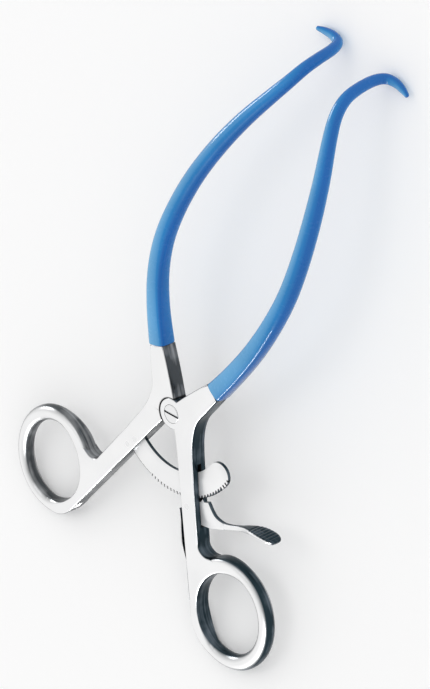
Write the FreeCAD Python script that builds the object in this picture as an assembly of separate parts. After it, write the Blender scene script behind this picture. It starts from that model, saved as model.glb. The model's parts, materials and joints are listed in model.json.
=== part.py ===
"""Self-retaining two-prong ratchet retractor, modelled piece by piece.

Millimetres. The pieces are drawn in the plane of the joint: X to the right half,
Y forward to the prongs, Z out of the face that carries the screw head, with the
pivot axis at X = Y = 0. The whole instrument is then tipped to the way it lies on
a flat table, on the rings and the prongs, and moved to stand on Z = 0.
"""
import FreeCAD, Part
import math
import os

from FreeCAD import Vector

os.makedirs("parts", exist_ok=True)

# Stock, lap joint and pivot screw
STOCK = 5.2            # thickness of both halves at the joint and the shanks
HALF = STOCK / 2.0
LAP_GAP = 0.05         # each half's face stands this far off the middle plane
BOSS_R = 4.75          # round boss of each half inside the other's recess
RECESS_R = 4.92
EDGE_ROUND = 0.45      # broken edges of the flat faces

SCREW_HEAD_R = 2.8
SCREW_HEAD_FIT = 0.10
SCREW_SHANK_R = 1.9
SCREW_SHANK_FIT = 0.05
SCREW_THREAD_R = 1.6
SCREW_SEAT_Z = 1.25    # floor of the counterbore in the front boss
SCREW_PROUD = 0.15
SCREW_DOME = 0.25
SCREW_SLOT = 0.7
SCREW_SLOT_DEPTH = 0.65
SCREW_SLOT_DEG = 13.0

# Outline of one half, from the coating's edge round the boss to the finger ring
BOSS_TOP_DEG = 83.0    # where the inner edge of the arm leaves the boss
BOSS_BOTTOM_DEG = -59.0
ARM_INNER = [(3.6, 9.5), (6.5, 13.8), (9.35, 17.75)]
ARM_OUTER = [(14.2, 14.95), (12.7, 11.2), (10.95, 7.0), (9.85, 4.2)]
CROTCH = [(9.5, 1.2), (9.85, -2.2)]
SHANK_OUTER = [(12.0, -8.9), (14.55, -15.4), (21.9, -32.4)]
RING_FILLET = [(21.9, -32.4), (23.2, -34.2), (25.3, -34.7), (28.1, -33.8), (31.2, -33.2), (34.0, -34.6)]
SHANK_INNER = [(4.75, -8.5), (26.0, -55.15)]
RING_TANGENT = [(26.0, -55.15), (27.0, -56.9), (28.8, -57.7), (31.5, -56.8)]
DRESSING = 0.03        # taken off the inner edge where shank and ring run on as one wall
RING_BLEND = [(25.2, -53.4), (27.9, -58.8), (30.3, -61.6), (33.4, -64.0)]

# Finger ring
RING_X = 38.5
RING_Y = -47.0
RING_B = 14.0          # centre-line half width
RING_LONGER = 1.4      # the half length, fore and aft, is this much more
RING_ENDS = 0.8        # the radius of the oval's two ends is this much less
RING_R = 2.4           # round section
WEB_REACH = 1.3        # the flat web runs this far past the ring's centre line
RING_A = RING_B + RING_LONGER
RING_END_R = RING_B - RING_ENDS

# Arms and coating
COAT = 0.4
# centre line of the right arm: x, y, z, width, depth, squareness of the section
ARM_STATIONS = [
    (12.1, 16.6, 0.0, 6.1, 5.9, 4.5),
    (16.4, 26.0, 0.2, 5.8, 5.5, 4.0),
    (20.1, 36.0, -0.2, 5.7, 5.4, 3.2),
    (22.3, 46.0, -1.6, 5.7, 5.5, 2.5),
    (22.8, 56.0, -4.1, 5.65, 5.6, 2.1),
    (21.6, 67.0, -6.9, 5.5, 5.5, 2.0),
    (19.0, 78.0, -10.3, 5.25, 5.25, 2.0),
    (15.6, 88.0, -13.9, 4.8, 4.8, 2.0),
    (12.0, 96.3, -17.2, 4.25, 4.25, 2.0),
    (9.3, 102.6, -20.3, 3.85, 3.85, 2.0),
    (8.1, 106.8, -24.0, 3.6, 3.6, 2.0),
    (7.9, 109.0, -29.0, 3.4, 3.4, 2.0),
    (8.2, 110.2, -34.0, 3.3, 3.3, 2.0),
    (9.6, 110.8, -37.2, 3.1, 3.1, 2.0),
    (12.6, 111.0, -38.1, 2.7, 2.7, 2.0),
    (15.6, 110.7, -37.9, 2.1, 2.1, 2.0),
    (17.9, 110.3, -37.4, 1.3, 1.3, 2.0),
]
ARM_CUTS = 2           # sections between two stations
CORE_END = 0.9         # the metal core stops this part of an interval before the point
NECK_WIDTH = 5.0       # section of the metal where the arm grows out of the flat neck
NECK_DEPTH = 5.0
NECK_BACK = 5.0
SECTION_POINTS = 12

# Ratchet bar
BAR_T = 1.1
BAR_IN_R = 18.3
BAR_TIP_R = 26.0
BAR_STEP = 0.45        # the plain stretch of the bar lies this far below the tips
TOOTH_DEPTH = 0.85
TOOTH_PITCH = 3.0
TOOTH_LEAN = 0.62      # how far the steep flank leans, in degrees of arc
TOOTH_LAND = 0.25      # flat on top of a tooth, in degrees of arc
FIRST_TOOTH = -6.0
NOSE_ROOT = 42.0       # the notch that the nose drops into at rest
BAR_END = 78.5
BAR_BURIED = -34.0     # the bar's root lies in a pocket of the left shank
POCKET_END = -15.0
SLOT_T = 1.5
SLOT_ABOVE = 2.1       # the shank's slot starts this far above the bar
SLOT_DEGREES = (8.0, 62.0)
RIVET_R = 0.8
RIVET_DEG = -31.5
RIVET_ROWS = (1.9 / 7.25, 0.8)    # places of the two rivets across the plain stretch of the bar

# Release lever: points are measured from its pin
PIN_R = 0.9
PIN_FIT = 0.05
PIN_GAP = 0.95         # room between the tips of the teeth and the pin
PIN_DEG = 31.0
LEVER_T = 1.2
SEAT_DEG = 9.5         # turn from riding over the teeth to seated in a notch
NOSE_FACE = 0.28       # shoulder of the nose above the tips when it is seated
NOSE_CLEAR = 0.07      # gap between the nose and the ramp it rests on
NOSE_BACK = 0.25       # gap to the steep flank, in degrees of arc
NOSE_FRONT_DEG = 4.2
NOSE_HEEL_DEG = 7.0
LEVER_SHOULDER = [(6.15, 4.25), (8.6, 2.55), (10.65, 2.15), (13.0, 2.5)]
LEVER_TOP = [(13.0, 2.5), (15.5, 3.95), (18.6, 6.0), (21.05, 7.65), (24.3, 9.25), (27.5, 10.15), (30.2, 10.65)]
LEVER_TIP = [(30.2, 10.65), (32.25, 10.7), (32.1, 9.75)]
LEVER_UNDER = [(32.1, 9.75), (29.5, 9.35), (26.5, 8.65), (22.9, 6.95), (19.1, 4.45), (13.6, 0.75)]
LEVER_BELLY = [(13.6, 0.75), (11.3, -0.7), (8.4, -2.5), (5.7, -3.6)]
LEVER_HEEL = [(0.0, -4.9), (-1.0, -5.5), (-1.75, -5.1)]
LEVER_BACK = [(-1.75, -5.1), (-1.8, -4.2), (-1.5, -2.9), (-1.7, -1.1)]
SLOT_BELOW = 1.55      # room under the heel for the lever's swing
PAD_WIDTH = 6.0
# half width of the thumb pad along its length, as parts of the full half width
PAD_PLAN = [(17.9, 0.18), (20.0, 0.4), (23.0, 0.8), (26.6, 1.0), (29.9, 0.93), (31.7, 0.55), (32.4, 0.0)]
PAD_GROOVES = 7
GROOVE_FROM = 23.6
GROOVE_PITCH = 1.15
GROOVE_R = 0.34
GROOVE_DEPTH = 0.2

# Leaf spring
LEAF_T = 0.5
LEAF_WIDTH = 3.6
LEAF_STAND = 1.4       # how far the leaf stands off the shank where the heel meets it
LEAF_TOP = 2.6         # its free end, below the pin
LEAF_FOOT = 4.8        # its bend ends this far behind the shank's screw
LEAF_SCREW_UP = 4.0    # its screw, ahead of the ring's middle
LEAF_SCREW_R = 1.5
LEAF_SCREW_HEAD = 0.7
LEAF_SCREW_ROUND = 0.2
LEAF_STEM_R = 0.8
LEAF_STEM_LONG = 2.4
LEAF_CROSS = 0.5
# the leaf's bow: part of the way to its free end, part of its full stand
LEAF_BOW = [(0.0, 0.0), (0.28, 0.72), (0.56, 0.98), (0.8, 1.0), (1.0, 1.05)]


def polar(radius, degrees, z=0.0):
    """A point at an angle measured from straight back toward the right."""
    a = math.radians(degrees)
    return Vector(radius * math.sin(a), -radius * math.cos(a), z)


def wire_of(edges):
    """One closed wire of edges given in any order."""
    return Part.Wire(Part.__sortEdges__(edges))


def spline(points, z=0.0):
    """A smooth edge through points of the plane."""
    curve = Part.BSplineCurve()
    curve.interpolate([Vector(p[0], p[1], z) for p in points])
    return curve.toShape()


def line(p, q, z=0.0):
    """A straight edge between two points of the plane."""
    return Part.makeLine(Vector(p[0], p[1], z), Vector(q[0], q[1], z))


def slab(edges, z0, z1):
    """A solid plate between two levels from a flat outline drawn at z = 0."""
    face = Part.Face(wire_of(edges))
    face.translate(Vector(0, 0, z0))
    return face.extrude(Vector(0, 0, z1 - z0))


def disc(radius, z0, z1, x=0.0, y=0.0):
    """A round plug standing along Z."""
    return Part.makeCylinder(radius, z1 - z0, Vector(x, y, z0), Vector(0, 0, 1))


def sector(r0, r1, a0, a1, z0, z1):
    """A piece of a flat ring about the pivot between two angles."""
    mid = (a0 + a1) / 2.0
    edges = [
        Part.Arc(polar(r0, a0), polar(r0, mid), polar(r0, a1)).toShape(),
        Part.makeLine(polar(r0, a1), polar(r1, a1)),
        Part.Arc(polar(r1, a1), polar(r1, mid), polar(r1, a0)).toShape(),
        Part.makeLine(polar(r1, a0), polar(r0, a0)),
    ]
    return slab(edges, z0, z1)


def rounded(shape, radius, pick):
    """Round the picked edges, by less where the full radius does not close."""
    edges = [e for e in shape.Edges if pick(e)]
    for r in (radius, radius * 0.7, radius * 0.45):
        try:
            out = shape.makeFillet(r, edges)
        except Exception:
            continue
        if out.isValid() and out.Volume > 0:
            return out
    return shape


def mirror_x(shape):
    """The left-hand twin of a right-hand shape."""
    return shape.mirror(Vector(0, 0, 0), Vector(1, 0, 0))


# Arm sections
def section(centre, tangent, side, width, depth, square):
    """A closed section across the arm, from a circle to a box with soft corners."""
    up = side.cross(tangent).normalize()
    points = []
    for i in range(SECTION_POINTS):
        a = 2.0 * math.pi * i / SECTION_POINTS
        c, s = math.cos(a), math.sin(a)
        u = math.copysign(abs(c) ** (2.0 / square), c) * width / 2.0
        v = math.copysign(abs(s) ** (2.0 / square), s) * depth / 2.0
        points.append(centre + side * u + up * v)
    curve = Part.BSplineCurve()
    curve.interpolate(Points=points, PeriodicFlag=True)
    return Part.Wire([curve.toShape()])


def arm_places(start_back, end_short):
    """Centre, tangent and size of every section along the right arm."""
    curve = Part.BSplineCurve()
    curve.interpolate([Vector(*s[:3]) for s in ARM_STATIONS])
    keys = [curve.parameter(Vector(*s[:3])) for s in ARM_STATIONS]
    places = []
    if start_back > 0:
        foot = curve.value(keys[0])
        ahead = curve.tangent(keys[0])[0]
        ahead = Vector(ahead.x, ahead.y, 0).normalize()
        square = ARM_STATIONS[0][5]
        places.append((foot - ahead * start_back, ahead, (NECK_WIDTH, NECK_DEPTH, square)))
    last = len(keys) - 1
    for k in range(last):
        for i in range(ARM_CUTS):
            f = i / ARM_CUTS
            if k + f > last - end_short:
                continue
            u = keys[k] + (keys[k + 1] - keys[k]) * f
            size = [p + (q - p) * f for p, q in zip(ARM_STATIONS[k][3:], ARM_STATIONS[k + 1][3:])]
            places.append((curve.value(u), curve.tangent(u)[0], size))
    if end_short <= 0:
        places.append((curve.value(keys[last]), curve.tangent(keys[last])[0], ARM_STATIONS[-1][3:]))
    return places


def arm_loft(inset, start_back, end_short):
    """The arm as one smooth solid, inset all round for the metal core."""
    side = None
    wires = []
    for centre, tangent, (width, depth, square) in arm_places(start_back, end_short):
        tangent = Vector(tangent).normalize()
        if side is None:
            side = tangent.cross(Vector(0, 0, 1))
        side = (side - tangent * side.dot(tangent)).normalize()
        wires.append(section(centre, tangent, side, width - 2 * inset, depth - 2 * inset, square))
    return Part.makeLoft(wires, True, False)


# One half, without its arm
def oval_arcs(offset):
    """Four arcs that run into each other, beside the ring's centre line."""
    reach = RING_A - RING_END_R
    c = (reach ** 2 - (RING_B - RING_END_R) ** 2) / (2.0 * (RING_B - RING_END_R))
    side_r = RING_B + c
    half_side = math.degrees(math.atan2(reach, c))
    half_end = 90.0 - half_side
    middle = Vector(RING_X, RING_Y, 0)
    return [
        (middle + Vector(-c, 0, 0), side_r + offset, -half_side, 2 * half_side),
        (middle + Vector(0, reach, 0), RING_END_R + offset, half_side, 2 * half_end),
        (middle + Vector(c, 0, 0), side_r + offset, 180.0 - half_side, 2 * half_side),
        (middle + Vector(0, -reach, 0), RING_END_R + offset, 180.0 + half_side, 2 * half_end),
    ]


def finger_ring():
    """The oval finger ring, round in section."""
    ring_solid = None
    for centre, radius, start, turn in oval_arcs(0.0):
        at = centre + Vector(radius, 0, 0)
        face = Part.Face(Part.Wire([Part.makeCircle(RING_R, at, Vector(0, 1, 0))]))
        face.rotate(centre, Vector(0, 0, 1), start)
        piece = face.revolve(centre, Vector(0, 0, 1), turn)
        ring_solid = piece if ring_solid is None else ring_solid.fuse(piece)
    return ring_solid.removeSplitter()


def beyond_inner_edge():
    """The waste past the shank's straight inner edge, which the ring bulges into."""
    start, last = SHANK_INNER[0], RING_BLEND[-1]
    edges = [
        line(start, RING_BLEND[0]),
        spline(RING_BLEND),
        line(last, (-RING_A, last[1])),
        line((-RING_A, last[1]), (-RING_A, start[1])),
        line((-RING_A, start[1]), start),
    ]
    waste = slab(edges, -STOCK, STOCK)
    waste.translate(Vector(DRESSING, 0, 0))
    return waste


def ring_opening():
    """A column that keeps the flat web out of the ring's hole."""
    edges = []
    for centre, radius, start, turn in oval_arcs(-WEB_REACH):
        edges.append(Part.makeCircle(radius, centre, Vector(0, 0, 1), start, start + turn))
    return slab(edges, -STOCK, STOCK)


def half_plate():
    """The flat forging of the right half: boss, neck and shank, full thickness."""
    top = math.radians(BOSS_TOP_DEG)
    low = math.radians(BOSS_BOTTOM_DEG)
    boss_top = (BOSS_R * math.cos(top), BOSS_R * math.sin(top))
    boss_low = (BOSS_R * math.cos(low), BOSS_R * math.sin(low))
    edges = [
        Part.Arc(Vector(*boss_top, 0), Vector(-BOSS_R, 0, 0), Vector(*boss_low, 0)).toShape(),
        spline([boss_top] + ARM_INNER),
        line(ARM_INNER[-1], ARM_OUTER[0]),
        spline(ARM_OUTER + CROTCH + SHANK_OUTER[:2]),
        line(SHANK_OUTER[1], SHANK_OUTER[2]),
        spline(RING_FILLET),
        line(RING_FILLET[-1], RING_TANGENT[-1]),
        spline(RING_TANGENT),
        line(SHANK_INNER[1], SHANK_INNER[0]),
        line(SHANK_INNER[0], boss_low),
    ]
    whole = slab(edges, -HALF, HALF)
    neck = (Vector(*ARM_INNER[-1], 0) + Vector(*ARM_OUTER[0], 0)) * 0.5

    def on_face(e):
        middle = e.CenterOfMass
        flat = all(abs(abs(v.Z) - HALF) < 1e-6 for v in e.Vertexes) and abs(abs(middle.z) - HALF) < 1e-6
        return flat and (Vector(middle.x, middle.y, 0) - neck).Length > 0.5

    web = whole.cut(ring_opening())
    finished = rounded(web, EDGE_ROUND, on_face)
    if finished.Volume < web.Volume - 1e-3:
        return finished
    return rounded(whole, EDGE_ROUND, on_face).cut(ring_opening())


plate = half_plate()
core = arm_loft(COAT, NECK_BACK, CORE_END)
coat_body = arm_loft(0.0, 0.0, 0.0)
blank = plate.fuse(finger_ring()).cut(beyond_inner_edge()).fuse(core).removeSplitter()
coat = coat_body.cut(core)

# Right half: boss in front, slot for the bar and the lever
pin = polar(BAR_TIP_R + PIN_GAP + PIN_R, PIN_DEG)
heel_reach = max(-p[1] for p in LEVER_HEEL)
slot_low_r = math.hypot(pin.x, pin.y) + heel_reach + SLOT_BELOW
right = blank.cut(disc(RECESS_R, -HALF - 1, LAP_GAP))
right = right.cut(disc(SCREW_SHANK_R + SCREW_SHANK_FIT, -HALF - 1, HALF + 1))
right = right.cut(disc(SCREW_HEAD_R + SCREW_HEAD_FIT, SCREW_SEAT_Z, HALF + 1))
right = right.cut(sector(BAR_IN_R - SLOT_ABOVE, slot_low_r, *SLOT_DEGREES, -SLOT_T / 2, SLOT_T / 2))
right = right.cut(disc(PIN_R, -HALF - 1, HALF + 1, pin.x, pin.y))

# Left half: boss behind, pocket for the bar's root
left = mirror_x(blank)
left = left.cut(disc(RECESS_R, -LAP_GAP, HALF + 1))
left = left.cut(disc(SCREW_THREAD_R, -HALF - 1, HALF + 1))


# Ratchet bar
def tooth_points(end_deg):
    """Corners of the toothed edge, from the first tooth to the last before an angle."""
    root = BAR_TIP_R - TOOTH_DEPTH
    foot = FIRST_TOOTH + (NOSE_ROOT - FIRST_TOOTH) % TOOTH_PITCH
    points = []
    while foot + TOOTH_PITCH < end_deg:
        points.append(polar(root, foot))
        points.append(polar(BAR_TIP_R, foot + TOOTH_LEAN))
        points.append(polar(BAR_TIP_R, foot + TOOTH_LEAN + TOOTH_LAND))
        foot += TOOTH_PITCH
    return points


def ratchet_bar():
    """The curved bar with saw teeth on its outer edge and a round end."""
    mid_r = (BAR_IN_R + BAR_TIP_R) / 2.0
    nose_r = (BAR_TIP_R - BAR_IN_R) / 2.0
    end_deg = BAR_END - math.degrees(nose_r / mid_r)
    inner_end = polar(BAR_IN_R, end_deg)
    outer_end = polar(BAR_TIP_R, end_deg)
    teeth = tooth_points(end_deg)
    plain = BAR_TIP_R - BAR_STEP
    middle = (BAR_BURIED + FIRST_TOOTH) / 2.0
    edges = [
        Part.Arc(inner_end, polar(BAR_IN_R, (end_deg + BAR_BURIED) / 2), polar(BAR_IN_R, BAR_BURIED)).toShape(),
        Part.makeLine(polar(BAR_IN_R, BAR_BURIED), polar(plain, BAR_BURIED)),
        Part.Arc(polar(plain, BAR_BURIED), polar(plain, middle), polar(plain, FIRST_TOOTH - 1.0)).toShape(),
        Part.makeLine(polar(plain, FIRST_TOOTH - 1.0), teeth[0]),
        *Part.makePolygon(teeth).Edges,
        Part.makeLine(teeth[-1], outer_end),
        Part.Arc(outer_end, polar(mid_r, BAR_END), inner_end).toShape(),
    ]
    return slab(edges, -BAR_T / 2, BAR_T / 2)


bar = ratchet_bar()
left = left.cut(sector(BAR_IN_R, BAR_TIP_R - BAR_STEP, BAR_BURIED, POCKET_END, -BAR_T / 2, BAR_T / 2))
rivets = []
for across in RIVET_ROWS:
    at = polar(BAR_IN_R + across * (BAR_TIP_R - BAR_STEP - BAR_IN_R), RIVET_DEG)
    hole = disc(RIVET_R, -HALF - 1, HALF + 1, at.x, at.y)
    left = left.cut(hole)
    bar = bar.cut(hole)
    rivets.append(disc(RIVET_R, -HALF, HALF, at.x, at.y))


# Pivot screw
def pivot_screw():
    """Slotted screw: shallow domed head, bearing shank, thread in the back boss."""
    top = HALF + SCREW_PROUD
    head = disc(SCREW_HEAD_R, SCREW_SEAT_Z + LAP_GAP, top)
    head = rounded(head, SCREW_DOME, lambda e: abs(e.CenterOfMass.z - top) < 1e-6)
    shank = disc(SCREW_SHANK_R, -LAP_GAP, SCREW_SEAT_Z + LAP_GAP)
    thread = disc(SCREW_THREAD_R, -HALF, -LAP_GAP)
    body = head.fuse(shank).fuse(thread).removeSplitter()
    long = 3.0 * SCREW_HEAD_R
    corner = Vector(-long / 2, -SCREW_SLOT / 2, top - SCREW_SLOT_DEPTH)
    slot = Part.makeBox(long, SCREW_SLOT, 2.0 * SCREW_SLOT_DEPTH, corner)
    slot.rotate(Vector(0, 0, 0), Vector(0, 0, 1), SCREW_SLOT_DEG)
    return body.cut(slot)


# Release lever
def seated_nose():
    """The pawl's nose as it sits in the notch at rest, shaped by the teeth."""
    root = BAR_TIP_R - TOOTH_DEPTH
    slope = TOOTH_DEPTH / (TOOTH_PITCH - TOOTH_LEAN - TOOTH_LAND)
    lean = TOOTH_LEAN / TOOTH_DEPTH
    face_r = BAR_TIP_R + NOSE_FACE
    tip_deg = NOSE_ROOT - NOSE_BACK
    tip_r = root + NOSE_CLEAR + NOSE_BACK * slope
    return [
        polar(face_r, NOSE_ROOT + NOSE_FRONT_DEG),
        polar(face_r, tip_deg + (face_r - tip_r) * lean),
        polar(tip_r, tip_deg),
        polar(face_r, NOSE_ROOT - (face_r - root - NOSE_CLEAR) / slope),
        polar(face_r + NOSE_CLEAR, NOSE_ROOT - NOSE_HEEL_DEG),
    ]


def turned(p, degrees):
    """Turn a point about the lever pin; positive is counter-clockwise from the front."""
    a = math.radians(degrees)
    x, y = p.x - pin.x, p.y - pin.y
    return Vector(pin.x + x * math.cos(a) - y * math.sin(a),
                  pin.y + x * math.sin(a) + y * math.cos(a), 0)


def by_pin(points):
    """Points of the lever, given from its pin, in the plane of the joint."""
    return [(pin.x + x, pin.y + y) for x, y in points]


def thumb_pad(profile):
    """The pad: the lever's end widened to a leaf shape in plan."""
    deep = 2.0 * LEVER_TOP[-1][1] + PAD_WIDTH
    sides = []
    for sign in (1.0, -1.0):
        curve = Part.BSplineCurve()
        curve.interpolate([Vector(pin.x + x, pin.y - deep, sign * w * PAD_WIDTH / 2.0) for x, w in PAD_PLAN])
        sides.append(curve.toShape())
    back = Part.makeLine(sides[0].Vertexes[0].Point, sides[1].Vertexes[0].Point)
    plan = Part.Face(wire_of(sides + [back]))
    column = plan.extrude(Vector(0, 2.0 * deep, 0))
    return slab(profile, -PAD_WIDTH, PAD_WIDTH).common(column)


def release_lever():
    """Pawl nose, body on the pin, heel for the spring, arm and thumb pad."""
    nose = [turned(p, -SEAT_DEG) for p in seated_nose()]
    shoulder, top = by_pin(LEVER_SHOULDER), spline(by_pin(LEVER_TOP))
    tip, under = spline(by_pin(LEVER_TIP)), spline(by_pin(LEVER_UNDER))
    belly, heel, back = by_pin(LEVER_BELLY), by_pin(LEVER_HEEL), by_pin(LEVER_BACK)
    edges = [
        *Part.makePolygon(nose).Edges,
        spline([(nose[0].x, nose[0].y)] + shoulder),
        top,
        tip,
        under,
        spline(belly),
        line(belly[-1], heel[0]),
        spline(heel),
        spline(back),
        line(back[-1], (nose[-1].x, nose[-1].y)),
    ]
    blade = slab(edges, -LEVER_T / 2, LEVER_T / 2)
    blade = blade.cut(disc(PIN_R + PIN_FIT, -LEVER_T, LEVER_T, pin.x, pin.y))
    root = line(by_pin(LEVER_UNDER)[-1], by_pin(LEVER_TOP)[0])
    body = blade.fuse(thumb_pad([top, tip, under, root])).removeSplitter()
    for i in range(PAD_GROOVES):
        x = pin.x + GROOVE_FROM + i * GROOVE_PITCH
        upright = line((x, pin.y), (x, pin.y + PAD_PLAN[-1][0]))
        cut = top.distToShape(upright)[1][0][0]
        at = Vector(x, cut.y - GROOVE_DEPTH + GROOVE_R, -PAD_WIDTH)
        body = body.cut(Part.makeCylinder(GROOVE_R, 2.0 * PAD_WIDTH, at, Vector(0, 0, 1)))
    return body


# Leaf spring and its screw
foot = Vector(*SHANK_INNER[0], 0)
run = (Vector(*SHANK_INNER[1], 0) - foot).normalize()
off = Vector(run.y, -run.x, 0)
if off.x > 0:
    off = off * -1.0


def along(y, stand):
    """A point standing off the straight inner edge of the right shank."""
    return foot + run * ((y - foot.y) / run.y) + off * stand


def leaf_spring():
    """Flat leaf: screwed down near the ring, bowed off the shank, free at the top."""
    start = RING_Y + LEAF_SCREW_UP + LEAF_FOOT / 2.0
    end = pin.y - LEAF_TOP
    bow = [along(start + (end - start) * part, LEAF_STAND * stand) for part, stand in LEAF_BOW]
    foot_end = along(start - LEAF_FOOT, 0.0)
    edges = [
        Part.makeLine(foot_end, bow[0]),
        spline([(p.x, p.y) for p in bow]),
        Part.makeLine(bow[-1], bow[-1] + off * LEAF_T),
        spline([(p.x, p.y) for p in [q + off * LEAF_T for q in reversed(bow)]]),
        Part.makeLine(bow[0] + off * LEAF_T, foot_end + off * LEAF_T),
        Part.makeLine(foot_end + off * LEAF_T, foot_end),
    ]
    return slab(edges, -LEAF_WIDTH / 2, LEAF_WIDTH / 2)


seat = along(RING_Y + LEAF_SCREW_UP, 0.0)


def leaf_screw():
    """Small slotted screw that holds the leaf against the shank."""
    top = seat + off * (LEAF_T + LEAF_SCREW_HEAD)
    head = Part.makeCylinder(LEAF_SCREW_R, LEAF_SCREW_HEAD, seat + off * LEAF_T, off)
    head = rounded(head, LEAF_SCREW_ROUND, lambda e: abs((e.CenterOfMass - top).dot(off)) < 1e-6)
    stem = Part.makeCylinder(LEAF_STEM_R, LEAF_T + LEAF_STEM_LONG, seat + off * LEAF_T, off * -1.0)
    wide = 3.0 * LEAF_SCREW_R
    cross = Part.makeBox(LEAF_CROSS, LEAF_CROSS, wide, Vector(-LEAF_CROSS / 2, -LEAF_CROSS / 2, -wide / 2))
    cross.rotate(Vector(0, 0, 0), Vector(0, 0, 1), math.degrees(math.atan2(off.y, off.x)))
    cross.translate(top)
    return head.fuse(stem).removeSplitter().cut(cross)


screw_hole = Part.makeCylinder(LEAF_STEM_R, LEAF_STEM_LONG + LEAF_T, seat + off * LEAF_T, off * -1.0)
leaf = leaf_spring().cut(screw_hole)
right = right.cut(screw_hole)

# Lie on the table: the rear ring edge and the underside of the prongs touch it
ring_rear = Vector(0, RING_Y - RING_A, 0)
prong = min(ARM_STATIONS, key=lambda station: station[2] - station[4] / 2.0)
dy = prong[1] - ring_rear.y
dz = -prong[2]
TILT = math.degrees(math.atan2(dz, dy) - math.asin((RING_R - prong[3] / 2.0) / math.hypot(dy, dz)))

pieces = {
    "right_half": right,
    "left_half": left,
    "right_coating": coat,
    "left_coating": mirror_x(coat),
    "pivot_screw": pivot_screw(),
    "ratchet_bar": bar,
    "bar_rivet_upper": rivets[0],
    "bar_rivet_lower": rivets[1],
    "release_lever": release_lever(),
    "lever_pin": disc(PIN_R, -HALF, HALF, pin.x, pin.y),
    "lever_spring": leaf,
    "spring_screw": leaf_screw(),
}
boxes = []
for shape in pieces.values():
    shape.rotate(Vector(0, 0, 0), Vector(1, 0, 0), TILT)
    boxes.append(shape.optimalBoundingBox(False, False))
rear = min(b.YMin for b in boxes)
front = max(b.YMax for b in boxes)
shift = Vector(0, -(rear + front) / 2.0, -min(b.ZMin for b in boxes))
for name, shape in pieces.items():
    shape.translate(shift)
    if shape.ShapeType == "Compound" and len(shape.Solids) == 1:
        shape = shape.Solids[0]
    shape.exportStep("parts/%s.step" % name)
    print("%-16s solids %d valid %s volume %.2f" % (name, len(shape.Solids), shape.isValid(), shape.Volume))
axis = FreeCAD.Rotation(Vector(1, 0, 0), TILT)
print("tilt %.6f shift %s" % (TILT, tuple(shift)))
print("lever pin in the plane of the joint", tuple(pin), "on the table", tuple(axis.multVec(pin) + shift))
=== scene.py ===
"""Looks of the self-retaining ratchet retractor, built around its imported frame.

Sizes are in millimetres in the plane of the joint, X to the right half, Y forward to
the prongs and Z out of the face with the screw head, with the pivot at the origin.
Plane turns them into metres on the table, where the frame is.
"""

from __future__ import annotations

import json
import logging
import math
from dataclasses import dataclass, field
from enum import Enum

import bpy
from mathutils import Matrix, Vector

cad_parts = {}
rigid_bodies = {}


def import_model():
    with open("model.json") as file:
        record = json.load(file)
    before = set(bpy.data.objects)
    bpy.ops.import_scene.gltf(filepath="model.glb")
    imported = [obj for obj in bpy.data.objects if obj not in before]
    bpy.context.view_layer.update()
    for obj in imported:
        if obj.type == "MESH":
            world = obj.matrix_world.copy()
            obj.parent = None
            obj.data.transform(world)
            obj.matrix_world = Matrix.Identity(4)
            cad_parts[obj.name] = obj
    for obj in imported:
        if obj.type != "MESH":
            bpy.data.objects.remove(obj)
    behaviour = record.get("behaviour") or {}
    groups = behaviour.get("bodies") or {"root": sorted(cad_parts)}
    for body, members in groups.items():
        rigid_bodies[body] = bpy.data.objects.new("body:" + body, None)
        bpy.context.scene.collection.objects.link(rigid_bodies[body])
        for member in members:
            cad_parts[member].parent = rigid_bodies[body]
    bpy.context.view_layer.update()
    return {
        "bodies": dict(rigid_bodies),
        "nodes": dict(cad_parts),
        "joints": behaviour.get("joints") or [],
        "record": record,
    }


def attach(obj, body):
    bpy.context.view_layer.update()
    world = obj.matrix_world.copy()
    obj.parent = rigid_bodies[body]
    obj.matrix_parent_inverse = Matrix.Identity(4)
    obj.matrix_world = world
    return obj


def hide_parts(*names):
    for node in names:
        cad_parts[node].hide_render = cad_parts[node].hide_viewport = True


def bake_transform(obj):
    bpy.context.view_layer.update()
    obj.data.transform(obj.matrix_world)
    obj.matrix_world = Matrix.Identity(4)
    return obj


LOG = logging.getLogger("retractor")

Piece = bpy.types.Object
Socket = bpy.types.NodeSocket
Pair = tuple[float, float]
Triple = tuple[float, float, float]
Stations = tuple[tuple[float, ...], ...]

MM = 0.001
OUT = Vector((0.0, 0.0, 1.0)).freeze()    # out of the face with the screw head
CRISP = 30.0                              # degrees: sharper edges of cut pieces stay crisp
CRISP_LOFT = 60.0                         # degrees: the same for lofted pieces
SHARP = 60.0                              # degrees: sharper edges of the bar and the leaf get broken
SHARP_SMALL = 50.0                        # degrees: the same for the screw heads and the blade
DOUBLES = 1e-7                            # metres within which two points are one
UPPER = 0.5                               # sine from which a section's point is on its upper face
UNIT = (0.0, 1.0)                         # a ramp's plain range
FALLING = (1.0, 0.0)                      # the same, turned round
GRAINS = (0.3, 0.7)                       # where the values of a noise mostly lie
MIX_COLOURS = (6, 7)                      # a Mix node's two colour inputs
MIX_RESULT = 2                            # its colour output


class Side(Enum):
    """The two halves, with the sign of X that each lies on."""

    RIGHT = 1.0
    LEFT = -1.0

    @property
    def word(self) -> str:
        """The word that the names of the half's pieces begin with."""
        return self.name.lower()

    @property
    def body(self) -> str:
        """Name of the frame's body."""
        return self.word + "_half"


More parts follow.
